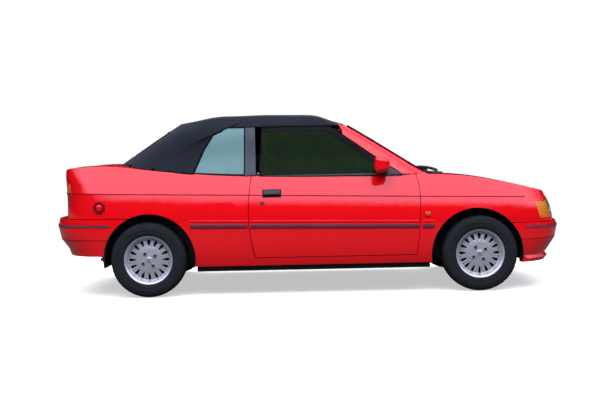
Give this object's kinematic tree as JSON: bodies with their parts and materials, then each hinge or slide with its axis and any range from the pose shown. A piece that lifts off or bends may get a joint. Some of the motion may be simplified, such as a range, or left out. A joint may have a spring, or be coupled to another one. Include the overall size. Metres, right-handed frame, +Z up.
{
  "type": "convertible car",
  "caption": "Small two-door open car with a folding fabric top raised, hinged doors, bonnet and boot lid, steered front wheels and a four-seat cabin.",
  "frame": {"origin": "on the ground, half-way along the car, on its centre plane", "axes": "+X towards the nose, +Y to the car's left, +Z up"},
  "size_m": [4.0365, 1.95, 1.4109],
  "materials": {
    "red_paint": "gloss",
    "black_plastic": "matte",
    "underseal": "matte",
    "lamp_clear": "gloss",
    "lamp_amber": "gloss",
    "lamp_red": "gloss",
    "top_fabric": "woven",
    "glass": "gloss",
    "grey_trim": "satin",
    "cabin_plastic": "grained",
    "seat_fabric": "woven",
    "cast_metal": "rough",
    "steel": "satin",
    "tyre": "matte",
    "alloy": "satin"
  },
  "bodies": {
    "body": {"console": "cabin_plastic", "dashboard": "cabin_plastic", "drive_shafts": "steel", "engine": "cast_metal", "exhaust": "steel", "floor_pan": "underseal", "front_bumper": "red_paint", "front_frame": "underseal", "front_indicators": "lamp_amber", "front_panel": "red_paint", "front_seats": "seat_fabric", "front_suspension": "steel", "front_wings": "red_paint", "fuel_tank": "steel", "grille": "black_plastic", "headlamps": "lamp_clear", "quarter_panels": "red_paint", "quarter_windows": "glass", "rear_axle": "steel", "rear_bumper": "red_paint", "rear_deck": "red_paint", "rear_panel": "red_paint", "rear_seat": "seat_fabric", "rear_window": "glass", "roll_hoop": "grey_trim", "scuttle": "red_paint", "sills": "red_paint", "soft_top": "top_fabric", "tail_lamps": "lamp_red", "top_well": "black_plastic", "wheel_liners": "black_plastic", "windscreen": "glass", "windscreen_frame": "red_paint"},
    "door_right": {"door_right": "red_paint", "door_glass_right": "glass", "door_mirror_right": "red_paint"},
    "door_left": {"door_left": "red_paint", "door_glass_left": "glass", "door_mirror_left": "red_paint"},
    "bonnet": {"bonnet": "red_paint"},
    "boot_lid": {"boot_lid": "red_paint"},
    "knuckle_right": {"knuckle_right": "cast_metal"},
    "knuckle_left": {"knuckle_left": "cast_metal"},
    "steering_wheel": {"steering_wheel": "cabin_plastic"},
    "wheel_front_right": {"tyre_front_right": "tyre", "rim_front_right": "alloy"},
    "wheel_front_left": {"tyre_front_left": "tyre", "rim_front_left": "alloy"},
    "wheel_rear_right": {"tyre_rear_right": "tyre", "rim_rear_right": "alloy"},
    "wheel_rear_left": {"tyre_rear_left": "tyre", "rim_rear_left": "alloy"}
  },
  "joints": [
    {"name": "door_right_hinge", "type": "hinge", "parent": "body", "child": "door_right", "pos_m": [0.79639, -0.804, 0.6], "axis": [0, 0, 1], "range_deg": [0, 65]},
    {"name": "door_left_hinge", "type": "hinge", "parent": "body", "child": "door_left", "pos_m": [0.79639, 0.804, 0.6], "axis": [0, 0, -1], "range_deg": [0, 65]},
    {"name": "bonnet_hinge", "type": "hinge", "parent": "body", "child": "bonnet", "pos_m": [1.084, 0, 0.87114], "axis": [0, -1, 0], "range_deg": [0, 50]},
    {"name": "boot_lid_hinge", "type": "hinge", "parent": "body", "child": "boot_lid", "pos_m": [-1.67, 0, 1.00111], "axis": [0, 1, 0], "range_deg": [0, 75]},
    {"name": "steer_right", "type": "hinge", "parent": "body", "child": "knuckle_right", "pos_m": [1.305, -0.64, 0.289], "axis": [0, 0, 1], "range_deg": [-33, 33]},
    {"name": "steer_left", "type": "hinge", "parent": "body", "child": "knuckle_left", "pos_m": [1.305, 0.64, 0.289], "axis": [0, 0, 1], "range_deg": [-33, 33]},
    {"name": "steering_wheel_turn", "type": "hinge", "parent": "body", "child": "steering_wheel", "pos_m": [0.32, -0.36, 0.8], "axis": [-0.9135, 0, 0.4067], "range_deg": [-528, 528]},
    {"name": "wheel_front_right_spin", "type": "hinge", "parent": "knuckle_right", "child": "wheel_front_right", "pos_m": [1.305, -0.72, 0.289], "axis": [0, 1, 0], "continuous": true},
    {"name": "wheel_rear_right_spin", "type": "hinge", "parent": "body", "child": "wheel_rear_right", "pos_m": [-1.22, -0.731, 0.289], "axis": [0, 1, 0], "continuous": true},
    {"name": "wheel_front_left_spin", "type": "hinge", "parent": "knuckle_left", "child": "wheel_front_left", "pos_m": [1.305, 0.72, 0.289], "axis": [0, 1, 0], "continuous": true},
    {"name": "wheel_rear_left_spin", "type": "hinge", "parent": "body", "child": "wheel_rear_left", "pos_m": [-1.22, 0.731, 0.289], "axis": [0, 1, 0], "continuous": true}
  ],
  "couplings": [
    {"joint": "steer_left", "follows": "steer_right", "ratio": 1},
    {"joint": "steering_wheel_turn", "follows": "steer_right", "ratio": 16}
  ]
}
